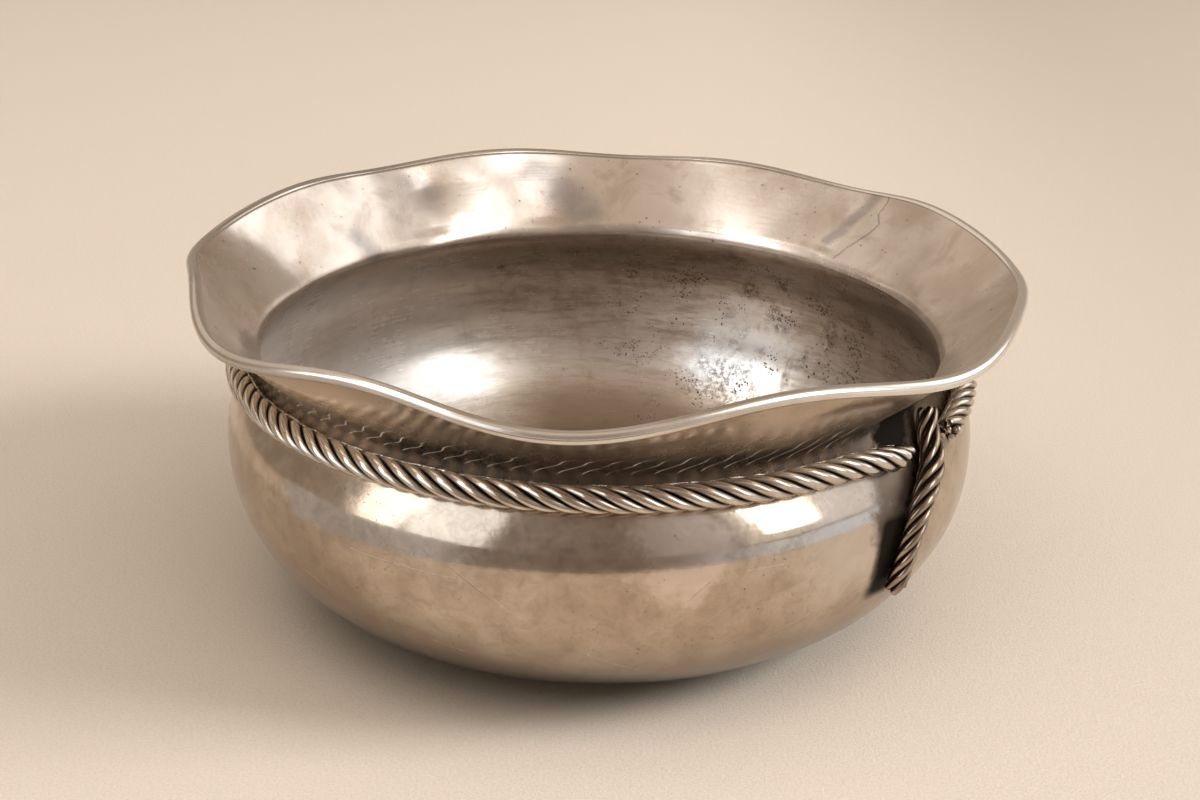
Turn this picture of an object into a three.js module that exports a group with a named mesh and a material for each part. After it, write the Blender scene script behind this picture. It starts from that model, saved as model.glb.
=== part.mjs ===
// Silver plated bowl shaped like a sack tied at the neck: a spun shell whose flared rim is bent into
// waves, a round bead along the rim, a twisted wire rope soldered round the neck, and a rope end that
// hangs down over the belly. Millimetres, +Z up, the flat base on z = 0 and the axis on Z. Azimuths
// are in degrees, counterclockwise from +X seen from above; the front is at -Y.
import * as THREE from 'three';

const GAP = 0.3; // left open in every soldered joint and between the wires

// Shell, outside measures
const SHEET = 1.2;
const FOOT_R = 42.9;
const BELLY_R = 107;
const BELLY_Z = 50.1; // height of the widest place
const BELLY_POWER = 2.1; // 2 is an ellipse, more is squarer
const THROAT_R = 97.9;
const THROAT_Z = 76.4; // height of the narrowest place
const SHOULDER_POWER = 1.56; // higher keeps the shoulder full for longer

// Flared rim and its bead
const RIM_BEND = 5; // radius of the bend at the throat, middle of the sheet
const RIM_LENGTH = 28.7; // from the throat to the edge along the sheet
const RIM_ANGLE = 49.2; // mean slope of the flare, from level
const RIM_WAVES = [ // waves round the rim: how many, swing of the slope, azimuth phase
  [8, 4.5, 155],
  [9, 2.1, -99],
  [7, 2.7, -105],
  [6, 1, 11],
  [5, 2, 81],
  [4, 2.2, 107],
  [3, 1.9, 75],
  [2, 1.8, -87],
  [1, 3.8, 164],
];
const BEAD_R = 1.8;

// Rope: round wires laid right-handed over a heart wire
const WIRES = 5;
const WIRE_R = 1.09;
const LAY_LENGTH = 29.2; // length of one full turn of a wire

// Rope band round the neck, with a space between its two ends
const BAND_BELOW = 3.7; // from the throat down to the middle of the rope
const BAND_FRONT = -40.6; // azimuth of the front end
const BAND_BACK = -28.5; // azimuth of the back end, reached past the front, the left and the back
const FRONT_SAG = 3.5; // how much lower each end lies on the shoulder
const FRONT_SAG_ANGLE = 4.8; // degrees in which most of that happens
const BACK_SAG = 3.2;
const BACK_SAG_ANGLE = 20;
const BAND_CUT = 4.4; // how much shorter the slanting front end is at the bottom
const BAND_PHASE = -11; // turn of the wires at the front end, in degrees

// Hanging rope: azimuth, height as a share of the throat's height, thickness as a share of the band's
const TASSEL_PATH = [
  [-31.7, 1.01, 0.78],
  [-33.3, 0.942, 0.87],
  [-35.9, 0.869, 1],
  [-40.2, 0.771, 0.9],
  [-42.8, 0.648, 0.79],
  [-43.9, 0.501, 0.755],
  [-43.9, 0.455, 0.755],
];
const TASSEL_CUT = 3; // how much shorter the slanting lower end is on the right
const TASSEL_PHASE = 34;

// Fineness of the mesh
const SEGMENTS = 64; // round the bowl
const WIRE_SIDES = 5;
const WIRE_STEPS = 7; // for each turn of a wire

const rad = THREE.MathUtils.degToRad;
const { lerp } = THREE.MathUtils;

function onAzimuth(azimuth, r, z) {
  return new THREE.Vector3(r * Math.cos(rad(azimuth)), r * Math.sin(rad(azimuth)), z);
}

// Joins rings of equally many points into one closed body. The rings run up the outside of it and
// each goes round to the left, seen in that direction. The two ends are capped, or meet each other.
function skin(rings, endless = false) {
  const count = rings[0].length;
  const points = rings.flat();
  const index = [];
  const at = (ring, i) => (ring % rings.length) * count + (i % count);
  for (let ring = 0; ring < rings.length - (endless ? 0 : 1); ring++) {
    for (let i = 0; i < count; i++) {
      index.push(at(ring, i), at(ring, i + 1), at(ring + 1, i + 1));
      index.push(at(ring, i), at(ring + 1, i + 1), at(ring + 1, i));
    }
  }
  if (!endless) {
    for (const ring of [0, rings.length - 1]) {
      const middle = rings[ring].reduce((sum, p) => sum.add(p), new THREE.Vector3());
      points.push(middle.divideScalar(count));
      for (let i = 0; i < count; i++) {
        const [a, b] = ring ? [i, i + 1] : [i + 1, i];
        index.push(points.length - 1, at(ring, a), at(ring, b));
      }
    }
  }
  const geometry = new THREE.BufferGeometry().setFromPoints(points);
  geometry.setIndex(index);
  geometry.computeVertexNormals();
  return geometry;
}

// Outside of the wall under the throat: u runs 0 ... 1 up the belly and 1 ... 2 over the shoulder.
function wall(u) {
  if (u <= 1) {
    const a = u * Math.PI / 2;
    return new THREE.Vector2(
      FOOT_R + (BELLY_R - FOOT_R) * Math.sin(a) ** (2 / BELLY_POWER),
      BELLY_Z * (1 - Math.cos(a) ** (2 / BELLY_POWER)),
    );
  }
  return new THREE.Vector2(
    THROAT_R + (BELLY_R - THROAT_R) * Math.cos(Math.PI / 2 * (u - 1) ** SHOULDER_POWER) ** 2,
    lerp(BELLY_Z, THROAT_Z, u - 1),
  );
}

function wallNormal(u) {
  const along = wall(Math.min(u + 1e-3, 2)).sub(wall(Math.max(u - 1e-3, 0)));
  return new THREE.Vector2(along.y, -along.x).normalize();
}

// Slope of the flare at an azimuth, in radians.
function rimSlope(azimuth) {
  const waves = RIM_WAVES.map(([count, swing, phase]) => (
    swing * Math.cos(rad(count * azimuth - phase))));
  return rad(waves.reduce((sum, wave) => sum + wave, RIM_ANGLE));
}

// Point of the flare: s along the middle of the sheet from the throat, out across it. The bend takes
// more or less of the same length of sheet, so the waves bend the rim and don't stretch it.
function rim(azimuth, s, out) {
  const full = Math.PI / 2 - rimSlope(azimuth);
  const turn = Math.min(s / RIM_BEND, full);
  const straight = Math.max(s - RIM_BEND * full, 0);
  return onAzimuth(
    azimuth,
    THROAT_R - SHEET / 2 + RIM_BEND * (1 - Math.cos(turn)) + straight * Math.sin(turn)
      + out * Math.cos(turn),
    THROAT_Z + RIM_BEND * Math.sin(turn) + straight * Math.cos(turn) - out * Math.sin(turn),
  );
}

function round(pointAt) {
  return Array.from({ length: SEGMENTS }, (_, i) => pointAt(i * 360 / SEGMENTS));
}

function bowlShell() {
  const wallRing = (u, depth) => {
    const p = wall(u).addScaledVector(wallNormal(u), -depth);
    return round((azimuth) => onAzimuth(azimuth, p.x, p.y));
  };
  // Share 0 ... 1 is the bend, 1 ... 2 the straight part of the flare.
  const rimRing = (share, out) => round((azimuth) => {
    const bend = RIM_BEND * (Math.PI / 2 - rimSlope(azimuth));
    return rim(azimuth, share < 1 ? bend * share : lerp(bend, RIM_LENGTH, share - 1), out);
  });
  const outside = [0, 0.14, 0.28, 0.42, 0.56, 0.7, 0.85, 1, 1.25, 1.45, 1.62, 1.8, 2];
  const inside = [2, 1.75, 1.5, 1.25, 1, 0.8, 0.6, 0.4, 0.2, 0];
  const flare = [0.35, 0.7, 1, 1.5, 2];
  return skin([
    ...outside.map((u) => wallRing(u, 0)),
    ...flare.map((share) => rimRing(share, SHEET / 2)),
    ...flare.toReversed().map((share) => rimRing(share, -SHEET / 2)),
    ...inside.map((u) => wallRing(u, SHEET)),
  ]);
}

// Round wire whose inner lower quarter is cut away as a seat for the edge of the sheet.
function rimBead() {
  const middle = BEAD_R - SHEET / 2; // flush with the inside of the sheet
  const seat = SHEET / 2 + GAP;
  const from = -Math.acos((seat - middle) / BEAD_R);
  const arcs = 9;
  const section = [[seat, GAP]];
  for (let i = 0; i <= arcs; i++) {
    const a = lerp(from, Math.PI, i / arcs);
    section.push([middle + BEAD_R * Math.cos(a), GAP + BEAD_R * Math.sin(a)]);
  }
  return skin(section.map(([out, up]) => round((azimuth) => rim(azimuth, RIM_LENGTH + up, out))), true);
}

// Circle on which the wires of a rope lie, far enough out to clear each other by the gap. The
// thickness is a share of the band's.
function layRadius(thick) {
  const apart = 2 * WIRE_R * thick + GAP;
  const slope = 2 * Math.PI * Math.cos(Math.PI / WIRES) / (LAY_LENGTH * thick);
  return apart / Math.sqrt(4 * Math.sin(Math.PI / WIRES) ** 2 - (apart * slope) ** 2);
}

// Middle of a rope that lies against the wall at this azimuth, with its own height given.
function ropeSeat(azimuth, height, thick = 1) {
  const away = layRadius(thick) + WIRE_R * thick + GAP;
  let low = 0;
  let high = 2;
  while (high - low > 1e-6) {
    const u = (low + high) / 2;
    if (wall(u).y + away * wallNormal(u).y < height) low = u;
    else high = u;
  }
  const p = wall(low).addScaledVector(wallNormal(low), away);
  return { place: onAzimuth(azimuth, p.x, height), thick };
}

// Direction of a line of places at one of them
function alongAt(places, i) {
  return places[Math.min(i + 1, places.length - 1)].clone().sub(places[Math.max(i - 1, 0)]).normalize();
}

// Frames along a rope: place, thickness, direction away from the bowl's axis, third direction, and
// the turns that its wires have made so far.
function ropeFrames(seats) {
  const places = seats.map(({ place }) => place);
  let turns = 0;
  return seats.map(({ place, thick }, i) => {
    const along = alongAt(places, i);
    const out = new THREE.Vector3(place.x, place.y, 0).normalize();
    out.addScaledVector(along, -out.dot(along)).normalize();
    turns += place.distanceTo(places[Math.max(i - 1, 0)]) / (LAY_LENGTH * thick);
    return { place, thick, out, side: along.clone().cross(out), turns };
  });
}

// Round wire through the given places, with one edge of its section turned to the given directions.
function wire(places, directions, radii) {
  return skin(places.map((place, i) => {
    const along = alongAt(places, i);
    const a = directions[i].clone().addScaledVector(along, -directions[i].dot(along)).normalize();
    const b = along.clone().cross(a);
    return Array.from({ length: WIRE_SIDES }, (_, side) => {
      const angle = side * 2 * Math.PI / WIRE_SIDES;
      return place.clone()
        .addScaledVector(a, radii[i] * Math.cos(angle))
        .addScaledVector(b, radii[i] * Math.sin(angle));
    });
  }));
}

// The same frames over a rope that is shorter by these lengths at its start and end
function shortened(frames, start, end) {
  const last = frames.length - 1;
  const spacing = frames[0].place.distanceTo(frames[1].place);
  return frames.map((_, i) => {
    const at = lerp(start / spacing, last - end / spacing, i / last);
    const a = frames[Math.min(Math.floor(at), last - 1)];
    const b = frames[frames.indexOf(a) + 1];
    const share = at - frames.indexOf(a);
    return {
      place: a.place.clone().lerp(b.place, share),
      thick: lerp(a.thick, b.thick, share),
      out: a.out.clone().lerp(b.out, share).normalize(),
      side: a.side.clone().lerp(b.side, share).normalize(),
      turns: lerp(a.turns, b.turns, share),
    };
  });
}

// One wire of a rope whose ends are cut aslant: all of the cut comes off where side points away.
function ropeWire(allFrames, number, phase, startCut, endCut) {
  const angleAt = ({ turns }) => 2 * Math.PI * (turns + number / WIRES) + rad(phase);
  const share = (frame) => (1 - Math.sin(angleAt(frame))) / 2;
  const frames = shortened(allFrames, startCut * share(allFrames[0]), endCut * share(allFrames.at(-1)));
  const directions = frames.map((frame) => {
    const angle = angleAt(frame);
    return frame.out.clone().multiplyScalar(Math.cos(angle))
      .addScaledVector(frame.side, Math.sin(angle));
  });
  const places = frames.map(({ place, thick }, i) => (
    place.clone().addScaledVector(directions[i], layRadius(thick))));
  return wire(places, directions, frames.map(({ thick }) => WIRE_R * thick));
}

// The heart fills the space that the facets of the wires leave inside them.
function heartWire(allFrames) {
  const frames = allFrames.filter((_, i) => i % 2 === 0 || i === allFrames.length - 1);
  const radii = frames.map(({ thick }) => (
    layRadius(thick) * Math.cos(Math.PI / WIRE_STEPS) - WIRE_R * thick - GAP));
  return wire(frames.map(({ place }) => place), frames.map(({ out }) => out), radii);
}

function bandSeats() {
  const back = BAND_BACK - 360;
  const sag = (azimuth) => FRONT_SAG * Math.exp((azimuth - BAND_FRONT) / FRONT_SAG_ANGLE)
    + BACK_SAG * Math.exp((back - azimuth) / BACK_SAG_ANGLE);
  const length = rad(BAND_FRONT - back) * (THROAT_R + layRadius(1) + WIRE_R);
  const steps = Math.round(length / LAY_LENGTH * WIRE_STEPS);
  return Array.from({ length: steps + 1 }, (_, i) => {
    const azimuth = lerp(BAND_FRONT, back, i / steps);
    return ropeSeat(azimuth, THROAT_Z - BAND_BELOW - sag(azimuth));
  });
}

function tasselSeats() {
  const seats = TASSEL_PATH.map(([azimuth, share, thick]) => (
    ropeSeat(azimuth, share * THROAT_Z, thick)));
  const curve = new THREE.CatmullRomCurve3(seats.map(({ place }) => place), false, 'centripetal');
  const steps = Math.round(curve.getLength() / (LAY_LENGTH * TASSEL_PATH.at(-1)[2]) * WIRE_STEPS);
  return Array.from({ length: steps + 1 }, (_, i) => {
    const t = curve.getUtoTmapping(i / steps);
    const row = Math.min(Math.floor(t * (seats.length - 1)), seats.length - 2);
    const thick = lerp(seats[row].thick, seats[row + 1].thick, t * (seats.length - 1) - row);
    return { place: curve.getPoint(t), thick };
  });
}

const silver = new THREE.MeshStandardMaterial({ color: 0xb8aea3, roughness: 0.28, metalness: 1 });
const bright = new THREE.MeshStandardMaterial({ color: 0xc6bdb2, roughness: 0.22, metalness: 1 });
const ropeSilver = new THREE.MeshStandardMaterial({ color: 0xa89c8e, roughness: 0.34, metalness: 1 });

const bowl = new THREE.Group();
bowl.name = 'silver_plated_bowl';

function add(name, geometry, material) {
  const mesh = new THREE.Mesh(geometry, material);
  mesh.name = name;
  bowl.add(mesh);
}

add('bowl_shell', bowlShell(), silver);
add('rim_bead', rimBead(), bright);
for (const [name, seats, phase, startCut, endCut] of [
  ['band', bandSeats(), BAND_PHASE, BAND_CUT, 0],
  ['tassel', tasselSeats(), TASSEL_PHASE, 0, TASSEL_CUT],
]) {
  const frames = ropeFrames(seats);
  add(`${name}_core`, heartWire(shortened(frames, startCut, endCut)), ropeSilver);
  for (let number = 0; number < WIRES; number++) {
    add(`${name}_strand_${number + 1}`, ropeWire(frames, number, phase, startCut, endCut), ropeSilver);
  }
}

export default bowl;
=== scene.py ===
import math

import bpy
import numpy as np
from mathutils import Matrix, Vector


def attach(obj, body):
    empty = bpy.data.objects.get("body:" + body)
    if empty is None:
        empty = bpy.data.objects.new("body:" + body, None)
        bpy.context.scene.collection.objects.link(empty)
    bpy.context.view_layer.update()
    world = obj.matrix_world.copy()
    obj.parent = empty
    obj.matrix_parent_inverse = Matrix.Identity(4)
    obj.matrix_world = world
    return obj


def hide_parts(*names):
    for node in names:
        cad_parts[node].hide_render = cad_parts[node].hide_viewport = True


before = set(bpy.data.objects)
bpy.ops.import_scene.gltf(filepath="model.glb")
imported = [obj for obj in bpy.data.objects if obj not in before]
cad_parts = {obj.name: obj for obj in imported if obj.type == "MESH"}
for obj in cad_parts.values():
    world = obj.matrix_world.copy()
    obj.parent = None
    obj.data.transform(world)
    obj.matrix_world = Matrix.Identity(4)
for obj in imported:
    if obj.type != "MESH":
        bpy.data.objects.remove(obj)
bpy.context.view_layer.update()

scene = bpy.context.scene

# The part's own measures, in millimetres and degrees, as in the CAD source
GAP = 0.3
SHEET = 1.2
FOOT_R, BELLY_R, BELLY_Z, BELLY_POWER = 42.9, 107, 50.1, 2.1
THROAT_R, THROAT_Z, SHOULDER_POWER = 97.9, 76.4, 1.56
RIM_BEND, RIM_LENGTH, RIM_ANGLE = 5, 28.7, 49.2
RIM_WAVES = [(8, 4.5, 155), (9, 2.1, -99), (7, 2.7, -105), (6, 1, 11), (5, 2, 81),
             (4, 2.2, 107), (3, 1.9, 75), (2, 1.8, -87), (1, 3.8, 164)]
BEAD_R = 1.8
WIRES, WIRE_R, LAY = 5, 1.09, 29.2
BAND_BELOW, BAND_FRONT, BAND_BACK = 3.7, -40.6, -28.5 - 360
FRONT_SAG, FRONT_SAG_ANGLE, BACK_SAG, BACK_SAG_ANGLE = 3.5, 4.8, 3.2, 20
BAND_CUT, BAND_PHASE = 4.4, -11
TASSEL_PATH = [(-31.7, 1.01, 0.78), (-33.3, 0.942, 0.87), (-35.9, 0.869, 1), (-40.2, 0.771, 0.9),
               (-42.8, 0.648, 0.79), (-43.9, 0.501, 0.755), (-43.9, 0.455, 0.755)]
TASSEL_CUT, TASSEL_PHASE = 3, 34

# Unevenness of the hand-worked sheet, as depth and size: one field on the wall and two on the flare
WALL_DENT = (0.075, 46)
RIM_DENTS = [(0.22, 31), (0.03, 13)]
# Azimuth and half width of the smooth part of the flare
CALM, CALM_WIDTH = 63, 10
# Soft folds hammered into the flare: azimuth, depth and half width
FOLDS = [(124, 0.9, 4), (138, -0.7, 3.5), (42, 0.9, 3), (84, -0.4, 5), (98, 0.5, 5), (160, 0.5, 5),
         (18, -0.5, 5), (-120, 0.4, 6), (-60, 0.4, 6), (-165, 0.5, 6)]
BEAD_LESS = 0.06  # how much thinner the bead is here than in the CAD source
BEAD_IN = 0.2  # how much closer to the edge of the flare it lies
WIRE_MORE = 0.03  # added to the wires of a rope, besides half the gap, so that they touch
WIRE_BEVEL = 0.25  # bevel of a wire's square end
RING_STEP = 0.95  # distance between the rings of a wire
HEART_PART = {"band": slice(12, None), "tassel": slice(12, -8)}  # of the seats, hidden by the wires
SEAM_ANGLE = 58  # direction of the solder from the middle of the rope, above the inward one
SEAM_R, SEAM_SWELL, SWELL_AT, SWELL_WIDTH = 0.16, 0.16, -72, 14

MM = 0.001
ROUND = 384  # points round the bowl
TURN = 2 * np.pi * np.arange(ROUND) / ROUND


# Shape of the bowl

def wall(u):
    """Radius and height of the outside: u 0 ... 1 is the belly and 1 ... 2 the shoulder."""
    a = np.clip(u, 0, 1) * np.pi / 2
    t = np.clip(u - 1, 0, 1)
    low = (FOOT_R + (BELLY_R - FOOT_R) * np.sin(a) ** (2 / BELLY_POWER),
           BELLY_Z * (1 - np.abs(np.cos(a)) ** (2 / BELLY_POWER)))
    high = (THROAT_R + (BELLY_R - THROAT_R) * np.cos(np.pi / 2 * t ** SHOULDER_POWER) ** 2,
            BELLY_Z + (THROAT_Z - BELLY_Z) * t)
    return np.where(u <= 1, low, high)


def wall_normal(u):
    dr, dz = wall(np.minimum(u + 1e-3, 2.0)) - wall(np.maximum(u - 1e-3, 0.0))
    return np.array([dz, -dr]) / np.hypot(dr, dz)


def dent(x, y, z, size):
    """Shallow unevenness of hand-worked sheet, in millimetres, with dents about size across."""
    rng = np.random.default_rng(size)
    waves = 14
    total = 0
    for _ in range(waves):
        way = rng.normal(size=3)
        way *= 2 * np.pi / size / np.linalg.norm(way) * rng.uniform(0.6, 1.5)
        total = total + np.sin(way[0] * x + way[1] * y + way[2] * z + rng.uniform(0, 2 * np.pi))
    return total / waves ** 0.5


def wall_row(u, depth):
    """Points all round the wall, this deep in the sheet. Dents fade out at the base and the throat."""
    r, z = wall(u)
    nr, nz = wall_normal(u)
    x, y = r * np.cos(TURN), r * np.sin(TURN)
    fade = min(1, z / 12) * min(1, (THROAT_Z - z) / 8)
    push = fade * WALL_DENT[0] * dent(x, y, z, WALL_DENT[1]) - depth
    r, z = r + push * nr, z + push * nz
    return np.stack([r * np.cos(TURN), r * np.sin(TURN), z * np.ones(ROUND)], 1)


def rim_point(s, out):
    """Points all round the flare: s along the sheet from the throat, out across it."""
    azimuth = np.degrees(TURN)
    slope = RIM_ANGLE + sum(
        swing * np.cos(np.radians(n * azimuth - phase)) for n, swing, phase in RIM_WAVES)
    full = np.pi / 2 - np.radians(slope)
    turn = np.minimum(s / RIM_BEND, full)
    straight = np.maximum(s - RIM_BEND * full, 0)
    r = THROAT_R - SHEET / 2 + RIM_BEND * (1 - np.cos(turn)) + straight * np.sin(turn)
    z = THROAT_Z + RIM_BEND * np.sin(turn) + straight * np.cos(turn)
    x, y = r * np.cos(TURN), r * np.sin(TURN)
    fade = np.clip(s / 6, 0, 1) * np.clip((RIM_LENGTH - 1 - s) / 8, 0, 1)
    calm = 1 - np.exp(-((azimuth - CALM) / CALM_WIDTH) ** 4)
    out = out + fade * calm * sum(deep * dent(x, y, z, size) for deep, size in RIM_DENTS)
    for middle, depth, width in FOLDS:
        away = (azimuth - middle + 180) % 360 - 180
        out = out + fade * depth * np.exp(-(away / width) ** 2)
    r, z = r + out * np.cos(turn), z - out * np.sin(turn)
    return np.stack([r * np.cos(TURN), r * np.sin(TURN), z], 1)


def lay_radius(thick):
    """Circle on which the wires of a rope lie. Thick is a share of the band's thickness."""
    apart = 2 * WIRE_R * thick + GAP
    slope = 2 * np.pi * np.cos(np.pi / WIRES) / (LAY * thick)
    return apart / np.sqrt(4 * np.sin(np.pi / WIRES) ** 2 - (apart * slope) ** 2)


def rope_seat(azimuth, height, thick=1.0):
    """Middle of a rope lying against the wall, and its thickness."""
    u = np.linspace(1e-3, 2, 900)
    r, z = wall(u) + (lay_radius(thick) + WIRE_R * thick + GAP) * wall_normal(u)
    r = np.interp(height, z, r)
    return np.array([r * np.cos(np.radians(azimuth)), r * np.sin(np.radians(azimuth)), height, thick])


def run_length(seats):
    return np.concatenate([[0], np.cumsum(np.linalg.norm(np.diff(seats[:, :3], axis=0), axis=1))])


def picked(rows, at, length):
    """Rows at these distances along a line, whose own rows lie at length."""
    return np.stack([np.interp(at, length, rows[:, k]) for k in range(rows.shape[1])], 1)


def evenly(seats, count):
    length = run_length(seats)
    return picked(seats, np.linspace(0, length[-1], count), length)


def band_seats():
    azimuth = np.linspace(BAND_FRONT, BAND_BACK, 700)
    sag = (FRONT_SAG * np.exp((azimuth - BAND_FRONT) / FRONT_SAG_ANGLE)
           + BACK_SAG * np.exp((BAND_BACK - azimuth) / BACK_SAG_ANGLE))
    height = THROAT_Z - BAND_BELOW - sag
    return evenly(np.array([rope_seat(a, z) for a, z in zip(azimuth, height)]), 620)


def tassel_seats():
    """Centripetal Catmull-Rom curve through the seats of the path."""
    p = np.array([rope_seat(azimuth, share * THROAT_Z, thick) for azimuth, share, thick in TASSEL_PATH])
    p = np.concatenate([[2 * p[0] - p[1]], p, [2 * p[-1] - p[-2]]])

    def blend(a, b, start, end, t):
        return ((end - t) * a + (t - start) * b) / (end - start)

    curve = []
    for i in range(len(p) - 3):
        q = p[i:i + 4]
        k = run_length(q)
        k = np.concatenate([[0], np.cumsum(np.diff(k) ** 0.5)])
        t = np.linspace(k[1], k[2], 40)[:, None]
        first = [blend(q[j], q[j + 1], k[j], k[j + 1], t) for j in range(3)]
        second = [blend(first[j], first[j + 1], k[j], k[j + 2], t) for j in range(2)]
        curve.append(blend(second[0], second[1], k[1], k[2], t))
    return evenly(np.concatenate(curve), 120)


# Meshes

def unit(v):
    return v / np.linalg.norm(v, axis=1)[:, None]


def skin(name, rings, materials, row_material=None, endless=False, attributes=None):
    """Closed body through rings of equally many points, given in millimetres, with flat caps."""
    rings = [np.asarray(ring) for ring in rings]
    n, rows = len(rings[0]), len(rings)
    points = np.concatenate(rings)
    steps = rows if endless else rows - 1
    i, j = np.meshgrid(np.arange(steps), np.arange(n), indexing="ij")
    k = (j + 1) % n
    up = (i + 1) % rows
    quads = np.stack([i * n + j, i * n + k, up * n + k, up * n + j], -1).reshape(-1, 4).tolist()
    slots = np.repeat(row_material if row_material is not None else np.zeros(steps, int), n).tolist()
    if not endless:
        quads += [list(range(n))[::-1], list(range((rows - 1) * n, rows * n))]
        slots += [slots[0], slots[-1]]
    mesh = bpy.data.meshes.new(name)
    mesh.from_pydata((points * MM).tolist(), [], quads)
    mesh.polygons.foreach_set("material_index", slots)
    for material in materials:
        mesh.materials.append(material)
    for key, values in (attributes or {}).items():
        mesh.attributes.new(key, "FLOAT", "POINT").data.foreach_set("value", np.concatenate(values))
    mesh.shade_smooth()
    mesh.update()
    piece = bpy.data.objects.new(name, mesh)
    scene.collection.objects.link(piece)
    return piece


def placed(piece, slot, *nodes):
    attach(piece, "root")
    if nodes:
        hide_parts(*nodes)


def tube(name, centres, radii, facing, sides, materials, axis=None):
    """Round wire. Facing turns one edge of its section. For a wire of a rope with this axis, crest is 1 on
    that edge, and open is the distance in millimetres that a point lies away from the bowl."""
    along = unit(np.gradient(centres, axis=0))
    a = unit(facing - (facing * along).sum(1)[:, None] * along)
    b = np.cross(along, a)
    angle = 2 * np.pi * np.arange(sides) / sides
    rings = [c + r * (np.cos(angle)[:, None] * u + np.sin(angle)[:, None] * v)
             for c, r, u, v in zip(centres, radii, a, b)]
    if axis is None:
        return skin(name, rings, materials)
    spokes = unit(axis * [1, 1, 0])
    away = [(ring - middle) @ spoke for ring, middle, spoke in zip(rings, axis, spokes)]
    crest = [0.5 + 0.5 * np.cos(angle)] * len(rings)
    crest[0] = crest[-1] = np.ones(sides)
    return skin(name, rings, materials, attributes={"crest": crest, "open": away})


def strand(name, seats, number, phase, cuts, round_ends, materials):
    """One wire of a rope, laid right-handed. A cut end loses most where side points away from it."""
    places, thick = seats[:, :3], seats[:, 3]
    length = run_length(seats)
    along = unit(np.gradient(places, axis=0))
    out = np.stack([places[:, 0], places[:, 1], 0 * places[:, 0]], 1)
    out = unit(out - (out * along).sum(1)[:, None] * along)
    side = np.cross(along, out)
    turns = np.concatenate([[0], np.cumsum(np.diff(length) / (LAY * (thick[1:] + thick[:-1]) / 2))])
    turn = (2 * np.pi * (turns + number / WIRES) + math.radians(phase))[:, None]
    facing = np.cos(turn) * out + np.sin(turn) * side
    centres = places + facing * lay_radius(thick)[:, None]
    start = cuts[0] * (1 - math.sin(turn[0, 0])) / 2
    end = length[-1] - cuts[1] * (1 - math.sin(turn[-1, 0])) / 2
    # Extra rings close to each end, where the wire is rounded off or cut square with a small bevel
    tips = []
    for rounded, tip in zip(round_ends, (thick[0], thick[-1])):
        bevel = np.linspace(0.12, np.pi / 2, 7)
        if rounded:
            tips.append((WIRE_R * tip * (1 - np.cos(bevel)), np.sin(bevel)))
        else:
            tips.append((WIRE_BEVEL * (1 - np.sin(bevel))[::-1],
                         1 - WIRE_BEVEL * np.cos(bevel) / 1.1))
    clear = 0.7  # from the last ring of an end to the next
    inner = np.arange(start + tips[0][0][-1] + clear, end - tips[1][0][-1] - clear, RING_STEP)
    at = np.concatenate([start + tips[0][0], inner, end - tips[1][0][::-1]])
    scale = np.concatenate([tips[0][1], np.ones(len(inner)), tips[1][1][::-1]])
    radii = (WIRE_R * np.interp(at, length, thick) + GAP / 2 + WIRE_MORE) * scale
    return tube(name, picked(centres, at, length), radii, picked(facing, at, length), 16, materials,
                axis=picked(places, at, length))


# Materials

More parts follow.
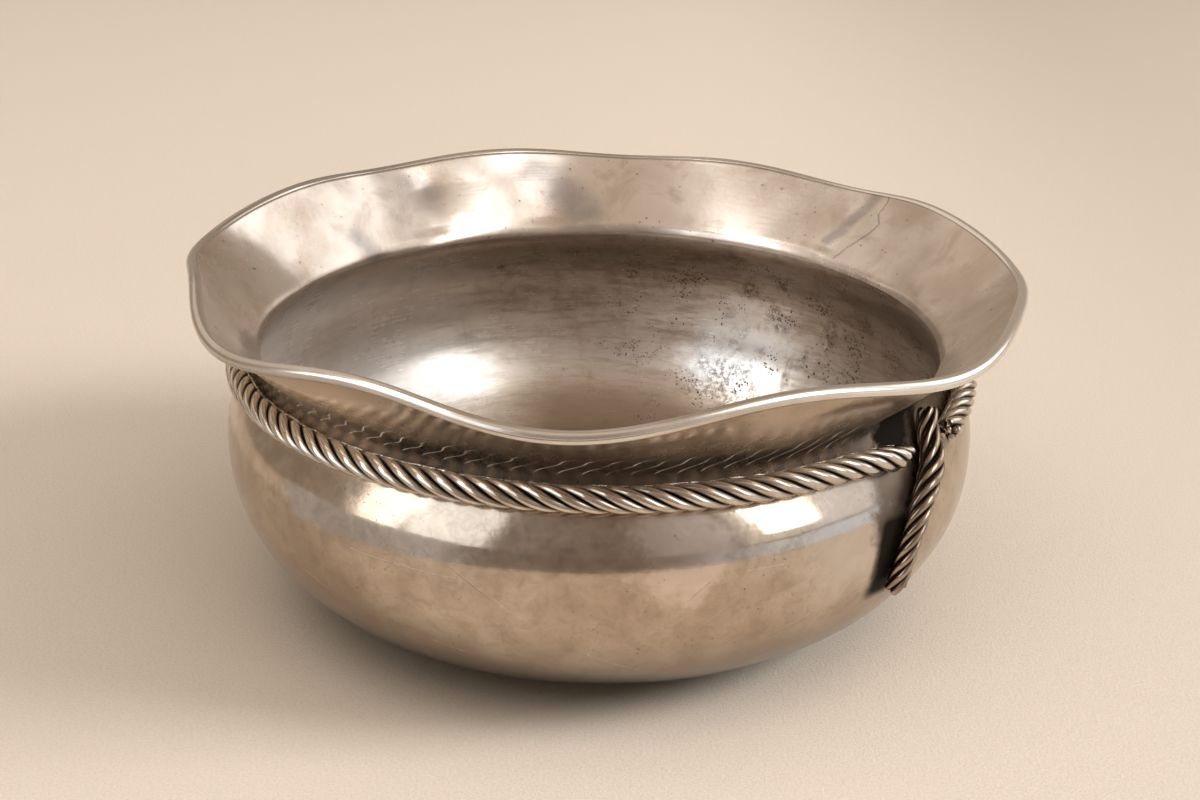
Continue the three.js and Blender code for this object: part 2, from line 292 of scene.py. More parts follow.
class Look:
    """One node material, built by short calls."""

    def __init__(self, name):
        self.material = bpy.data.materials.new(name)
        self.material.use_nodes = True
        self.tree = self.material.node_tree
        self.tree.nodes.clear()
        self.place = self.add("ShaderNodeTexCoord").outputs["Object"]
        self.x, self.y, self.z = self.add("ShaderNodeSeparateXYZ", {0: self.place}).outputs

    def add(self, kind, inputs=None, **settings):
        node = self.tree.nodes.new(kind)
        for key, value in settings.items():
            setattr(node, key, value)
        for key, value in (inputs or {}).items():
            if isinstance(value, bpy.types.NodeSocket):
                self.tree.links.new(value, node.inputs[key])
            else:
                node.inputs[key].default_value = value
        return node

    def math(self, operation, a, b=0.0, c=0.0):
        return self.add("ShaderNodeMath", {0: a, 1: b, 2: c}, operation=operation).outputs[0]

    def times(self, a, b):
        return self.math("MULTIPLY", a, b)

    def plus(self, a, b):
        return self.math("ADD", a, b)

    def step(self, value, low, high, start=0.0, end=1.0):
        """Smooth change from start to end while value goes from low to high."""
        inputs = {"Value": value, "From Min": low, "From Max": high, "To Min": start, "To Max": end}
        return self.add("ShaderNodeMapRange", inputs, interpolation_type="SMOOTHSTEP").outputs[0]

    def noise(self, size, detail=3.0, rough=0.5, vector=None, warp=0.0):
        """Noise with features about size millimetres across."""
        return self.add("ShaderNodeTexNoise", {
            "Vector": vector or self.place, "Scale": 1000 / size, "Detail": detail, "Roughness": rough,
            "Distortion": warp}).outputs[0]

    def mix(self, factor, a, b):
        node = self.add("ShaderNodeMix", data_type="RGBA")
        for index, value in ((0, factor), (6, a), (7, b)):
            if isinstance(value, bpy.types.NodeSocket):
                self.tree.links.new(value, node.inputs[index])
            else:
                node.inputs[index].default_value = value
        return node.outputs[2]

    def combine(self, x, y, z):
        return self.add("ShaderNodeCombineXYZ", {0: x, 1: y, 2: z}).outputs[0]

    def spun(self, around, across):
        """Coordinates stretched round the bowl's axis, for marks of spinning and polishing."""
        radius = self.math("SQRT", self.plus(self.times(self.x, self.x), self.times(self.y, self.y)))
        radius = self.math("MAXIMUM", radius, 0.0005)
        height = self.plus(self.times(radius, 0.5 * across), self.times(self.z, across))
        return self.combine(self.times(self.math("DIVIDE", self.x, radius), around),
                            self.times(self.math("DIVIDE", self.y, radius), around), height)

    def streak(self, start, end, width, depth=0.02, wander=0.3, ends=0.38, core=0.3):
        """Mask of one stroke between two points of the surface. Width is where it fades out beside the
        line between them and core the share of it that is full, as ends is the share of the length on
        each side of the middle. It strays by about twice wander. All in millimetres but depth, which
        in metres keeps the stroke off the far side."""
        a, b = Vector(start) * MM, Vector(end) * MM
        middle = (a + b) / 2
        line = (b - a).normalized()
        outward = Vector((middle.x, middle.y, 0)).normalized()
        across = line.cross(outward).normalized()
        shift = self.add("ShaderNodeVectorMath", {0: self.place, 1: middle},
                         operation="SUBTRACT").outputs[0]
        along, off, front = [
            self.add("ShaderNodeVectorMath", {0: shift, 1: way},
                     operation="DOT_PRODUCT").outputs["Value"]
            for way in (line, across, outward)]
        drift = self.times(self.math("SUBTRACT", self.noise(7, 3, 0.6), 0.5), wander * 4 * MM)
        off = self.math("ABSOLUTE", self.plus(off, drift))
        far, front = self.math("ABSOLUTE", along), self.math("ABSOLUTE", front)
        mask = self.step(off, width * MM, core * width * MM)
        mask = self.times(mask, self.step(far, (b - a).length / 2, (b - a).length * ends))
        return self.times(mask, self.step(front, depth, depth * 0.9))

    def blotch(self, centre, radius, size=3.0, ragged=0.9):
        """Mask of a patch round a point of the surface, in millimetres. Size is that of the bays in its
        edge, and ragged is how deep they are, as a share of the radius."""
        away = self.add("ShaderNodeVectorMath", {0: self.place, 1: Vector(centre) * MM},
                        operation="DISTANCE")
        away = self.math("DIVIDE", away.outputs["Value"], radius * MM)
        bays = self.math("SUBTRACT", self.noise(size, 4, 0.65), 0.5)
        away = self.plus(away, self.times(bays, ragged * 2))
        return self.step(away, 1.15, 0.5)

    def strongest(self, masks):
        total = masks[0]
        for mask in masks[1:]:
            total = self.math("MAXIMUM", total, mask)
        return total

    def marked(self, strokes, spots=()):
        return self.strongest([self.streak(*stroke) for stroke in strokes]
                              + [self.blotch(*spot) for spot in spots])

    def metal(self, color, roughness, height, distance=0.0001, haze=0.15, anisotropic=0.0,
              metallic=1.0):
        """Worn silver: a share haze of the light is spread much wider than the rest."""
        bump = self.add("ShaderNodeBump", {"Height": height, "Distance": distance, "Strength": 1.0})
        tangent = None
        if anisotropic:
            tangent = self.add("ShaderNodeTangent", direction_type="RADIAL", axis="Z")
        lobes = []
        for wider in (0.0, 0.26):
            inputs = {"Base Color": color, "Roughness": self.plus(roughness, wider), "Metallic": metallic,
                      "Normal": bump.outputs[0], "Anisotropic": anisotropic,
                      "Specular IOR Level": 0.05}
            if tangent:
                inputs["Tangent"] = tangent.outputs[0]
            lobes.append(self.add("ShaderNodeBsdfPrincipled", inputs).outputs[0])
        surface = self.add("ShaderNodeMixShader", {0: haze, 1: lobes[0], 2: lobes[1]})
        self.add("ShaderNodeOutputMaterial", {"Surface": surface.outputs[0]})
        return self.material


def color(r, g, b):
    return (r, g, b, 1.0)


def outside_silver():
    k = Look("outside_silver")
    cloud = k.noise(45, 4, 0.55)
    mottle = k.noise(12, 5, 0.65, warp=0.5)
    fine = k.noise(2.2, 3, 0.6)
    rubs = k.noise(1, 3, 0.6, k.spun(0.004, 1.4))
    fleck = k.noise(4.5, 5, 0.7, warp=0.6)
    specks = k.times(k.step(k.noise(0.9, 1, 0.4), 0.71, 0.77), k.step(k.noise(14), 0.44, 0.58))
    above_belly = k.step(k.z, 0.066, 0.0715)
    neck = k.times(above_belly, k.step(k.z, 0.101, 0.09))
    close = k.times(above_belly, k.step(k.z, 0.081, 0.076))
    left = k.step(k.x, -0.045, -0.065)
    lines = k.marked(SCRATCHES)
    painted_shadow = k.marked(SHADOW_STROKES, SHADOW_SPOTS)
    shade = k.marked(SHADE_STROKES, SHADE_SPOTS)
    # Painted reflection of the rope's glints above the rope: thin bright strokes, which lean and sway as
    # they go up
    lean = k.plus(k.times(k.math("ARCTAN2", k.y, k.x), GLINTS_PER_RADIAN), k.times(k.z, GLINT_LEAN))
    lean = k.plus(lean, k.times(k.math("SINE", k.times(k.z, GLINT_BENDS)), GLINT_SWAY))
    off_line = k.math("ABSOLUTE", k.math("SUBTRACT", k.math("FRACT", lean), 0.5))
    painted_rope_glints = k.step(off_line, 0.055, 0.025)
    painted_rope_glints = k.times(painted_rope_glints, k.times(k.step(k.z, 0.0765, 0.0775), k.step(k.z, 0.084, 0.081)))
    painted_rope_glints = k.times(painted_rope_glints, k.step(k.noise(10, 3), 0.3, 0.5))
    base = k.mix(k.step(cloud, 0.4, 0.72), color(0.56, 0.47, 0.38), color(0.47, 0.37, 0.285))
    base = k.mix(k.step(mottle, 0.4, 0.75, 0.0, 0.6), base, color(0.35, 0.27, 0.205))
    base = k.mix(k.step(mottle, 0.5, 0.25, 0.0, 0.35), base, color(0.70, 0.60, 0.50))
    base = k.mix(k.step(fleck, 0.42, 0.72, 0.0, 0.5), base, color(0.31, 0.245, 0.19))
    # Painted shade: the belly darkens towards the base and is nearly black just above the floor, where the
    # contact shadow falls
    base = k.mix(k.step(k.z, 0.042, 0.011, 0.0, 0.85), base, color(0.24, 0.178, 0.125))
    base = k.mix(k.step(k.z, 0.022, 0.005), base, color(0.03, 0.022, 0.016))
    neck_patches = k.times(neck, k.step(k.noise(6, 4, 0.6), 0.2, 0.8, 0.6, 1.0))
    base = k.mix(neck_patches, base, color(0.50, 0.40, 0.31))
    # Painted light: the neck is lighter at the left
    base = k.mix(k.times(k.times(neck, left), 0.75), base, color(0.86, 0.70, 0.54))
    # Painted shade: the neck just above the rope is darker, less so at the left
    base = k.mix(k.times(close, k.plus(0.45, k.times(left, -0.35))), base, color(0.20, 0.15, 0.11))
    # Painted reflection: a lighter pinkish patch on the front of the belly
    base = k.mix(k.times(k.blotch(*PALE_SPOT), 0.5), base, color(0.80, 0.68, 0.61))
    base = k.mix(k.times(specks, 0.8), base, color(0.10, 0.075, 0.055))
    base = k.mix(k.times(lines, 0.2), base, color(0.80, 0.72, 0.63))
    # Painted reflection: bright strokes of the rope's glints
    base = k.mix(painted_rope_glints, base, color(1.0, 0.93, 0.84))
    # Painted sheen: a lighter, cooler patch on the right of the front of the belly
    base = k.mix(k.times(k.blotch(*COOL_SPOT), 0.5), base, color(0.74, 0.69, 0.655))
    # Painted shade and black painted shadow beside the hanging rope and between it and the end of the band
    base = k.mix(k.times(shade, 0.9), base, color(0.15, 0.11, 0.08))
    base = k.mix(k.step(painted_shadow, 0.0, 0.55, 0.0, 0.85), base, color(0.14, 0.10, 0.07))
    base = k.mix(k.step(painted_shadow, 0.35, 0.85), base, color(0.012, 0.009, 0.007))
    rough = k.plus(k.step(cloud, 0.3, 0.8, 0.09, 0.15), k.times(k.step(fine, 0.45, 0.75), 0.06))
    rough = k.plus(rough, k.plus(k.times(lines, 0.15), k.plus(k.times(painted_shadow, 0.4), k.times(shade, 0.22))))
    neck_rough = k.times(neck, k.step(k.z, 0.094, 0.082, 0.03, 0.16))
    rough = k.plus(rough, k.plus(k.times(painted_rope_glints, 0.4), neck_rough))
    height = k.plus(k.times(rubs, 0.08), k.plus(k.times(fine, 0.08), k.times(k.noise(9, 3), 0.34)))
    height = k.plus(height, k.times(k.noise(0.8, 2), 0.022))
    height = k.math("SUBTRACT", height, k.times(lines, 0.2))
    return k.metal(base, rough, height, 0.00016, haze=0.2, metallic=k.step(painted_shadow, 0.5, 1.0, 1.0, 0.0))


def inside_silver():
    k = Look("inside_silver")
    cloud = k.noise(38, 5, 0.6)
    mottle = k.noise(10, 6, 0.7, warp=0.8)
    crumbs = k.noise(1.5, 4, 0.7)
    spin = k.noise(1, 4, 0.7, k.spun(0.006, 1.1))
    fine_spin = k.noise(1, 2, 0.6, k.spun(0.004, 3.2))
    short_spin = k.noise(1, 4, 0.75, k.spun(0.018, 1.0))
    broad_spin = k.noise(1, 4, 0.7, k.spun(0.007, 0.42))
    right = k.step(k.plus(k.x, k.times(k.y, 0.35)), -0.03, 0.09)
    stain = k.step(k.noise(13, 6, 0.65, warp=0.4), 0.58, 0.72)
    stain = k.times(stain, k.plus(k.times(right, 0.85), 0.15))
    patches = k.times(k.marked([], INSIDE_SPOTS), k.step(crumbs, 0.40, 0.62))
    # Pits in clusters, more of them at the right
    ragged = k.times(k.math("SUBTRACT", crumbs, 0.5), 0.3)
    masks = []
    for scale, cluster, low, high, largest in PITS:
        cells = k.add("ShaderNodeTexVoronoi", {"Vector": k.place, "Scale": scale, "Randomness": 1.0})
        size = k.step(k.noise(cluster, 3), low, high, 0.0, largest)
        size = k.times(size, k.plus(k.times(right, 0.7), 0.3))
        edge = k.plus(cells.outputs["Distance"], ragged)
        masks.append(k.step(k.math("SUBTRACT", size, edge), 0.0, 0.06))
    pits = k.strongest(masks)
    under = k.step(k.z, 0.056, 0.076)
    sunk = k.times(k.step(k.z, 0.030, 0.017), k.step(k.x, -0.045, -0.01))
    centre = k.step(k.math("ABSOLUTE", k.plus(k.x, -0.002)), 0.045, 0.015)
    centre = k.times(centre, k.step(k.z, 0.05, 0.03))
    base = k.mix(k.step(cloud, 0.35, 0.7), color(0.92, 0.86, 0.80), color(0.75, 0.67, 0.59))
    base = k.mix(k.step(mottle, 0.45, 0.7, 0.0, 0.6), base, color(0.40, 0.31, 0.235))
    base = k.mix(k.step(spin, 0.35, 0.8, 0.0, 0.3), base, color(0.95, 0.92, 0.89))
    base = k.mix(k.step(short_spin, 0.5, 0.72, 0.0, 0.5), base, color(0.50, 0.42, 0.35))
    base = k.mix(k.step(broad_spin, 0.46, 0.66, 0.0, 0.6), base, color(0.40, 0.32, 0.25))
    # Painted light: the inside is lighter at the left
    base = k.mix(k.step(k.x, -0.02, -0.07, 0.0, 0.6), base, color(0.98, 0.96, 0.95))
    # Painted shade: the inside is darker low in the middle, below the edge, at the right and at the bottom
    base = k.mix(k.times(centre, 0.6), base, color(0.46, 0.36, 0.27))
    base = k.mix(k.times(under, 0.65), base, color(0.26, 0.195, 0.145))
    base = k.mix(k.times(k.step(k.x, 0.055, 0.085), 0.7), base, color(0.26, 0.20, 0.15))
    base = k.mix(k.times(sunk, 0.85), base, color(0.25, 0.18, 0.125))
    # Painted highlight: a pale patch low on the inside
    base = k.mix(k.times(k.blotch(*BRIGHT_SPOT), 0.85), base, color(0.98, 0.96, 0.95))
    base = k.mix(k.times(stain, 0.7), base, color(0.22, 0.16, 0.115))
    base = k.mix(k.times(patches, 0.8), base, color(0.13, 0.095, 0.065))
    base = k.mix(k.times(pits, 0.9), base, color(0.05, 0.036, 0.026))
    rough = k.plus(k.times(spin, 0.08), k.times(stain, 0.12))
    rough = k.plus(k.step(cloud, 0.3, 0.75, 0.17, 0.28), rough)
    rough = k.plus(rough, k.times(pits, 0.2))
    height = k.plus(k.times(fine_spin, 0.015), k.times(k.noise(3, 4, 0.7), 0.2))
    height = k.plus(k.times(spin, 0.09), height)
    height = k.math("SUBTRACT", height, k.times(stain, 0.05))
    return k.metal(base, rough, height, 0.00022, haze=0.55, anisotropic=0.35)


def flare_silver():
    k = Look("flare_silver")
    cloud = k.noise(30, 4, 0.6, warp=0.3)
    fine = k.noise(1.6, 3, 0.6)
    rubs = k.noise(1, 3, 0.6, k.spun(0.005, 1.2))
    specks = k.times(k.step(k.noise(1.5, 1, 0.4), 0.71, 0.77), k.step(k.noise(11), 0.48, 0.58))
    wedges = k.times(k.marked(FLARE_STROKES), k.step(k.noise(9, 3, 0.6), 0.3, 0.6, 0.5, 1.0))
    thread = k.marked(FLARE_THREAD)
    brown = k.step(k.noise(16, 5, 0.65, warp=0.8), 0.5, 0.68)
    base = k.mix(k.step(cloud, 0.4, 0.72), color(0.70, 0.62, 0.55), color(0.56, 0.46, 0.375))
    base = k.mix(k.times(brown, 0.5), base, color(0.43, 0.33, 0.255))
    # Painted reflection: grey wedges of dark things
    base = k.mix(k.times(wedges, 0.62), base, color(0.27, 0.25, 0.25))
    base = k.mix(k.times(thread, 0.6), base, color(0.20, 0.175, 0.16))
    base = k.mix(k.times(specks, 0.75), base, color(0.12, 0.09, 0.07))
    satin = k.step(k.x, 0.04, 0.085, 0.0, 0.09)
    rough = k.plus(k.step(cloud, 0.3, 0.8, 0.17, 0.27), k.times(k.step(fine, 0.45, 0.75), 0.06))
    rough = k.plus(rough, satin)
    height = k.plus(k.times(rubs, 0.08), k.plus(k.times(fine, 0.07), k.times(k.noise(12, 3), 0.25)))
    return k.metal(base, rough, height, 0.00018, haze=0.35)


def bead_silver():
    k = Look("bead_silver")
    cloud = k.noise(25, 4, 0.6)
    fine = k.noise(1.2, 3, 0.6)
    rubs = k.noise(1, 3, 0.6, k.spun(0.006, 2.0))
    base = k.mix(k.step(cloud, 0.4, 0.75), color(0.74, 0.68, 0.625), color(0.58, 0.50, 0.43))
    # Painted shade and light: the bead is darker at the left and lighter at the right
    base = k.mix(k.step(k.x, -0.03, -0.09, 0.0, 0.4), base, color(0.42, 0.36, 0.31))
    base = k.mix(k.step(k.x, 0.03, 0.10, 0.0, 0.7), base, color(0.93, 0.87, 0.81))
    rough = k.plus(k.step(cloud, 0.3, 0.8, 0.16, 0.26), k.times(k.step(rubs, 0.45, 0.75), 0.08))
    height = k.plus(k.times(rubs, 0.05), k.plus(k.times(fine, 0.04), k.times(k.noise(7, 2), 0.25)))
    return k.metal(base, rough, height, 0.00012)


def rope_silver(name, light, deep):
    """Wire with tarnish in the grooves, and tarnish and painted shade on the side next to the bowl."""
    k = Look(name)
    crest = k.add("ShaderNodeAttribute", attribute_name="crest").outputs["Fac"]
    away = k.add("ShaderNodeAttribute", attribute_name="open").outputs["Fac"]
    patch = k.noise(7, 4, 0.6)
    uneven = k.math("SUBTRACT", patch, 0.5)
    groove = k.step(k.plus(crest, k.times(uneven, 0.3)), 0.88, 0.56)
    hidden = k.step(k.plus(away, k.times(uneven, 1.5)), -0.4, -1.8)
    fine = k.noise(0.7, 3, 0.6)
    base = k.mix(k.step(patch, 0.4, 0.7), light, deep)
    # Tarnish and painted shade on the side next to the bowl
    base = k.mix(k.times(hidden, 0.75), base, color(0.22, 0.17, 0.125))
    base = k.mix(groove, base, color(0.05, 0.035, 0.025))
    rough = k.plus(k.step(patch, 0.3, 0.8, 0.11, 0.21), k.times(groove, 0.3))
    height = k.plus(k.times(fine, 0.08), k.times(k.noise(2.2, 2), 0.25))
    return k.metal(base, rough, height, 0.0001)


def solder_silver():
    k = Look("solder_silver")
    patch = k.noise(1.4, 3, 0.6)
    base = k.mix(k.step(patch, 0.35, 0.65), color(0.20, 0.16, 0.12), color(0.88, 0.83, 0.77))
    return k.metal(base, k.step(patch, 0.3, 0.7, 0.45, 0.25), k.noise(0.6, 3), 0.0003)


def backdrop_paper():
    k = Look("backdrop_paper")
    grain = k.noise(0.9, 3, 0.75)
    cloud = k.noise(420, 3, 0.5)
    base = k.mix(k.step(cloud, 0.3, 0.7), color(0.735, 0.645, 0.55), color(0.765, 0.67, 0.575))
    # Painted light and shade: the paper is lighter towards the back and darker to the right
    base = k.mix(k.step(k.y, -0.35, 0.9), base, color(0.84, 0.74, 0.635))
    base = k.mix(k.step(k.x, 0.04, 0.34), base, color(0.63, 0.55, 0.46))
    base = k.mix(k.step(grain, 0.35, 0.7, 0.0, 0.35), base, color(0.56, 0.46, 0.37))
    bump = k.add("ShaderNodeBump", {"Height": grain, "Distance": 0.0004, "Strength": 0.6})
    surface = k.add("ShaderNodeBsdfPrincipled", {
        "Base Color": base, "Roughness": 0.9, "Normal": bump.outputs[0], "Specular IOR Level": 0.15})
    k.add("ShaderNodeOutputMaterial", {"Surface": surface.outputs[0]})
    return k.material


# Marks on the surface. A stroke is two ends, width, depth, wander, ends and core, as in Look.streak,
# and a spot is centre, radius, size and ragged, as in Look.blotch. Values left out are the usual ones.
SCRATCHES = [
    ((-65, -85, 51), (-33, -102, 50), 0.3),
    ((-37, -101, 54), (-17, -105, 40), 0.26),
    ((20, -105, 45), (28, -103, 52), 0.3),
    ((36, -101, 53), (47, -96, 53), 0.3),
    ((-4, -103, 31), (14, -95, 21), 0.24),
    ((-79, -70, 38), (-69, -78, 34), 0.24),
    ((65, -82, 35), (73, -77, 40), 0.24),
    ((26, -103, 39), (34, -101, 45), 0.2),
    ((-50, -92, 30), (-28, -97, 24), 0.2),
    ((40, -94, 30), (58, -86, 37), 0.2),
    ((88, 55, 50), (70, 78, 44), 0.24),
    ((-60, 88, 47), (-20, 104, 52), 0.24),
]
# Painted black shadow and brown painted shade left of the hanging rope, and painted shadow between it and
# the end of the band
SHADOW_STROKES = [((77, -74.5, 59), (73.5, -74.5, 30), 8.5, 0.02, 0.7, 0.3, 0.3)]
SHADOW_SPOTS = [((75, -63, 76), 10, 4.0, 0.5), ((84, -60, 83), 10.5, 4.0, 0.5)]
SHADE_STROKES = [((72, -73, 73), (73.2, -77.5, 49), 6.5, 0.02, 0.8, 0.25, 0.0)]
SHADE_SPOTS = [((75.5, -71.5, 64), 10, 4.0, 0.4), ((73, -75, 56), 8, 4.0, 0.6)]
# Lighter patches of the outside, a painted reflection and a painted sheen, and a painted highlight low on
# the inside
PALE_SPOT = ((21, -104, 60), 15, 7, 1.0)
COOL_SPOT = ((66, -84, 56), 21, 12, 0.5)
BRIGHT_SPOT = ((47, 92, 38), 20, 9, 0.6)
# Painted glints above the rope: how many in a radian, how many an upright line crosses in a metre, and how
# they sway
GLINTS_PER_RADIAN, GLINT_LEAN, GLINT_BENDS, GLINT_SWAY = 16.8, -280.0, 1400.0, 0.12
# Dark patches of the inside
INSIDE_SPOTS = [
    ((50, 92, 58), 4.5, 3, 1.3), ((76, 74, 51), 4, 3, 1.3), ((89, 37, 77), 4, 3, 1.3),
    ((-34, 97, 64), 2.6), ((42, 88, 29), 15, 6, 1.4), ((97, 35, 63), 6, 3, 1.3),
    ((58, 86, 50), 6, 3, 1.4), ((84, 60, 58), 4, 3, 1.3), ((10, 103, 60), 3, 3, 1.3),
    ((66, 76, 40), 5, 3, 1.4)]
# Small and large pits of the inside: cells in a metre, size of the clusters, the noise at which they
# begin and are full, and the largest pit as a share of a cell
PITS = [(900.0, 12, 0.42, 0.62, 0.36), (430.0, 22, 0.48, 0.68, 0.24)]
# Grey wedges on the flare, painted reflections of dark things, and the thin wavy line beside the right one
FLARE_STROKES = [
    ((-69, 89, 99), (-50, 89, 85), 8, 0.02, 0.8, 0.2, 0.1),
    ((-82, 63, 88), (-69, 67, 74), 6, 0.02, 0.8, 0.2, 0.1),
    ((93, 76, 101), (70, 71, 81), 3.2, 0.02, 0.6, 0.4, 0.2),
    ((-30, 108, 101), (1, 97, 77), 10, 0.02, 1.0, 0.3, 0.1)]
THREAD = [(91, 71, 98.5), (90.7, 69.2, 97), (87.9, 67.6, 93.5), (87.8, 63.4, 91.5),
          (83.7, 63.4, 87.4), (77.4, 64.8, 82.9), (73.5, 64.4, 79.6)]
FLARE_THREAD = [(start, end, 0.42, 0.01, 0.3, 0.499) for start, end in zip(THREAD, THREAD[1:])]

outside, inside, flare = outside_silver(), inside_silver(), flare_silver()
bead_metal, solder_metal = bead_silver(), solder_silver()
rope_metals = {"band": rope_silver("band_silver", color(0.66, 0.58, 0.50), color(0.50, 0.41, 0.33)),
               "tassel": rope_silver("tassel_silver", color(0.42, 0.33, 0.255), color(0.28, 0.21, 0.155))}

# The spun shell, from the middle of the base up the outside, over the edge and down the inside
low, high = np.linspace(0, 1, 46), np.linspace(1, 2, 40)[1:]
up_wall = [wall_row(u, 0) for u in np.concatenate([low, high])]
down_wall = [wall_row(u, SHEET) for u in np.concatenate([low, high])[::-1]]
flare_steps = np.concatenate([np.linspace(0, 9, 16)[1:], np.linspace(9, RIM_LENGTH, 26)[1:]])
up_flare = [rim_point(s, SHEET / 2) for s in flare_steps]
down_flare = [rim_point(s, -SHEET / 2) for s in flare_steps[::-1]]
rings = up_wall + up_flare + down_flare + down_wall
row_material = np.zeros(len(rings) - 1, int)
row_material[len(up_wall) + len(up_flare):] = 2
row_material[len(up_wall) + 2 * len(up_flare):] = 1
shell = skin("spun_shell", rings, [outside, inside, flare], row_material)
placed(shell, "shell_silver", "bowl_shell")

# Bead: a round wire on the edge of the flare
sides = 28
wire = BEAD_R - BEAD_LESS
seat = RIM_LENGTH + GAP - BEAD_IN
bead = skin("edge_bead", [rim_point(seat + wire * np.sin(a), wire * (1 + np.cos(a)) - SHEET / 2)
                          for a in 2 * np.pi * np.arange(sides) / sides],
            [bead_metal], endless=True)
placed(bead, "bead_silver", "rim_bead")

# Ropes, whose wires touch here
for rope, seats, phase, cuts in (("band", band_seats(), BAND_PHASE, (BAND_CUT, 0)),
                                 ("tassel", tassel_seats(), TASSEL_PHASE, (0, TASSEL_CUT))):
    for number in range(WIRES):
        piece = strand(f"{rope}_wire_{number + 1}", seats, number, phase, cuts, (True, False),
                       [rope_metals[rope]])
        placed(piece, "rope_silver", f"{rope}_strand_{number + 1}")
    seats = seats[HEART_PART[rope]]
    heart = tube(f"{rope}_heart", seats[:, :3], lay_radius(seats[:, 3]) - WIRE_R * seats[:, 3],
                 seats[:, :3] * [1, 1, 0], 10, [rope_metals[rope]], axis=seats[:, :3])
    placed(heart, "rope_silver", f"{rope}_core")

# Thin uneven line of solder along the upper edge of the band, thickest at the right of the front
places = band_seats()[:, :3]
rng = np.random.default_rng(5)
wobble = np.convolve(rng.normal(size=len(places) + 4), np.ones(5) / 5 ** 0.5, "valid")
spoke = unit(places * [1, 1, 0])
reach = lay_radius(1.0) + WIRE_R + 0.05 + 0.1 * wobble
seam = places - spoke * (reach * math.cos(math.radians(SEAM_ANGLE)))[:, None]
seam[:, 2] += reach * math.sin(math.radians(SEAM_ANGLE))
azimuth = np.degrees(np.arctan2(places[:, 1], places[:, 0]))
thick = SEAM_R + SEAM_SWELL * np.exp(-((azimuth - SWELL_AT) / SWELL_WIDTH) ** 2)
thick = np.clip(thick * (1 + 0.5 * wobble[::-1]), 0.05, 0.5)
solder = tube("solder_seam", seam, thick, spoke, 8, [solder_metal])
placed(solder, "rope_silver")

# Stage: pale paper under and behind the bowl
half, steps, behind = 2.2, 24, 0.6
grid = np.linspace(-half, half, steps)
floor_mesh = bpy.data.meshes.new("paper")
floor_mesh.from_pydata(
    [(x, y + behind, 0.0) for y in grid for x in grid], [],
    [(j * steps + i, j * steps + i + 1, (j + 1) * steps + i + 1, (j + 1) * steps + i)
     for j in range(steps - 1) for i in range(steps - 1)])
floor_mesh.materials.append(backdrop_paper())
floor = bpy.data.objects.new("paper", floor_mesh)
scene.collection.objects.link(floor)


# Cards seen only in reflections: a low one ends the floor at the front, and a tall one is the room there

def arc_card(name, radius, start, end, low, high, glow):
    """Part of an upright cylinder round CARD_MIDDLE. Glow makes its colour."""
    k = Look(name)
    shine = k.add("ShaderNodeEmission", {"Color": glow(k)})
    k.add("ShaderNodeOutputMaterial", {"Surface": shine.outputs[0]})
    n = 60
    x, y = CARD_MIDDLE
    bend = np.radians(np.linspace(start, end, n))
    rows = [np.stack([x + radius * np.cos(bend), y + radius * np.sin(bend), z + 0 * bend], 1) * MM
            for z in (low, high)]
    mesh = bpy.data.meshes.new(name)
    mesh.from_pydata(np.concatenate(rows).tolist(), [],
                     [(i, i + 1, i + n + 1, i + n) for i in range(n - 1)])
    mesh.materials.append(k.material)
    card = bpy.data.objects.new(name, mesh)
    scene.collection.objects.link(card)
    card.visible_camera = card.visible_diffuse = card.visible_shadow = False


def low_glow(k):
    """Grey at the left, brown in front and pale blue at the right."""
    left = k.mix(k.step(k.x, -0.09, -0.13), color(0.26, 0.21, 0.18), color(0.62, 0.6, 0.6))
    return k.mix(k.step(k.x, 0.08, 0.22), left, color(0.85, 0.88, 0.95))


def room_glow(k):
    """Cloudy brown, and grey at the right."""
    brown = k.mix(k.step(k.noise(90, 3), 0.35, 0.65), color(0.27, 0.22, 0.185), color(0.36, 0.29, 0.245))
    return k.mix(k.step(k.x, 0.05, 0.28), brown, color(0.50, 0.45, 0.42))


CARD_MIDDLE = (70, -10)
arc_card("low_card", 265, -172, 6, 1, 62, low_glow)
arc_card("room_card", 620, -121, -56, 75, 620, room_glow)


# Light: tall windows at the right and the left front, pale walls and a brown ceiling

def soft_box(name, azimuth, elevation, wide, high, radiance, tint=(1, 1, 1), distance=1.9):
    """Rectangle seen from the bowl in this direction, this many degrees wide and high."""
    light = bpy.data.lights.new(name, "AREA")
    light.shape = "RECTANGLE"
    light.size = 2 * distance * math.tan(math.radians(wide / 2))
    light.size_y = 2 * distance * math.tan(math.radians(high / 2))
    light.energy = radiance * math.pi * light.size * light.size_y
    light.color = tint
    lamp = bpy.data.objects.new(name, light)
    a, e = math.radians(azimuth), math.radians(elevation)
    way = Vector((math.cos(a) * math.cos(e), math.sin(a) * math.cos(e), math.sin(e)))
    lamp.location = way * distance + BOWL_MIDDLE
    lamp.rotation_euler = way.to_track_quat("Z", "Y").to_euler()
    scene.collection.objects.link(lamp)
    return lamp


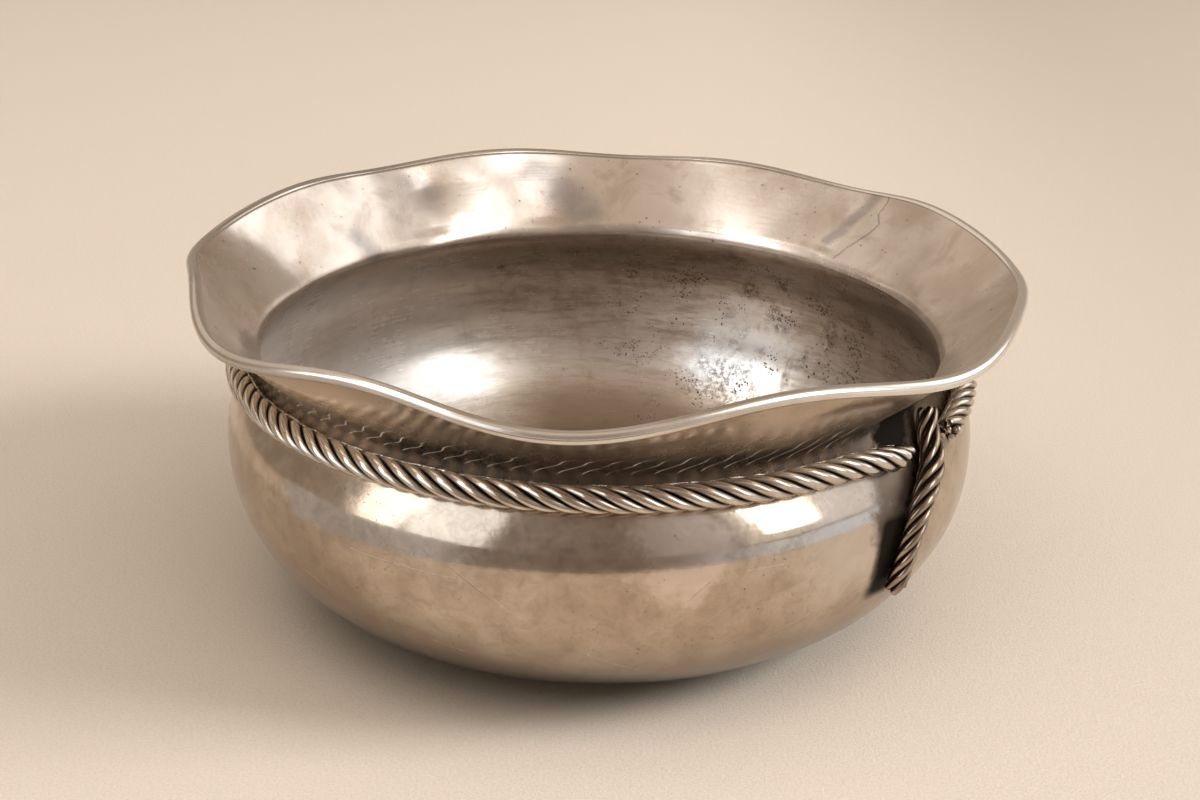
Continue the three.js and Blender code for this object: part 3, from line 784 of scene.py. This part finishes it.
BOWL_MIDDLE = Vector((0, 0, 0.06))
windows = [
    soft_box("window_right", -34, 31, 19, 40, 3.4, (0.95, 0.98, 1.0)),
    soft_box("wall_right", -17, 29, 90, 52, 0.52, (0.94, 0.97, 1.0), 2.4),
    soft_box("window_side", 19, 26, 34, 34, 1.1, (0.90, 0.96, 1.0), 2.1),
    soft_box("window_left", -154, 28, 16, 54, 3.2, (0.96, 0.98, 1.0)),
    soft_box("window_left_top", -165, 56, 18, 12, 3.4, (0.98, 0.99, 1.0)),
    soft_box("curtain_left", -132.5, 18, 24, 44, 1.8, (0.82, 0.91, 1.0)),
    soft_box("paper_back_left", 137, 42, 56, 40, 0.42, (1.0, 0.9, 0.8), 2.4),
    soft_box("ceiling", -85, 74, 76, 44, 0.26, (1.0, 0.82, 0.66), 2.4)]
for lamp in windows:
    lamp.visible_diffuse = False
# These light the paper and are left out of reflections
for lamp in (soft_box("key", -11, 30, 20, 20, 21.0, (1.0, 1.0, 1.0), 3.4),
             soft_box("overhead", -90, 66, 74, 58, 1.33, (1.0, 0.98, 0.95))):
    lamp.visible_glossy = False

world = bpy.data.worlds.new("surround")
world.use_nodes = True
world.node_tree.nodes["Background"].inputs["Color"].default_value = (0.40, 0.335, 0.265, 1)
world.node_tree.nodes["Background"].inputs["Strength"].default_value = 1.0
scene.world = world
scene.view_settings.view_transform = "Standard"

# Camera, fitted to the outline of the bowl in the photograph
target, distance = Vector((0.000167, 0, 0.05599)), 0.55526
elevation, roll = math.radians(22.445), math.radians(0.89)
ahead = Vector((0, math.cos(elevation), -math.sin(elevation)))
right = Vector((1, 0, 0))
upward = right.cross(ahead)
level = math.cos(roll) * right + math.sin(roll) * upward
upright = math.cos(roll) * upward - math.sin(roll) * right
lens = bpy.data.cameras.new("camera")
lens.lens, lens.sensor_width, lens.sensor_fit = 56.967, 36, "HORIZONTAL"
camera = bpy.data.objects.new("camera", lens)
turned = Matrix((level, upright, -ahead)).transposed().to_4x4()
camera.matrix_world = Matrix.Translation(target - ahead * distance) @ turned
scene.collection.objects.link(camera)
scene.camera = camera

bpy.context.view_layer.update()
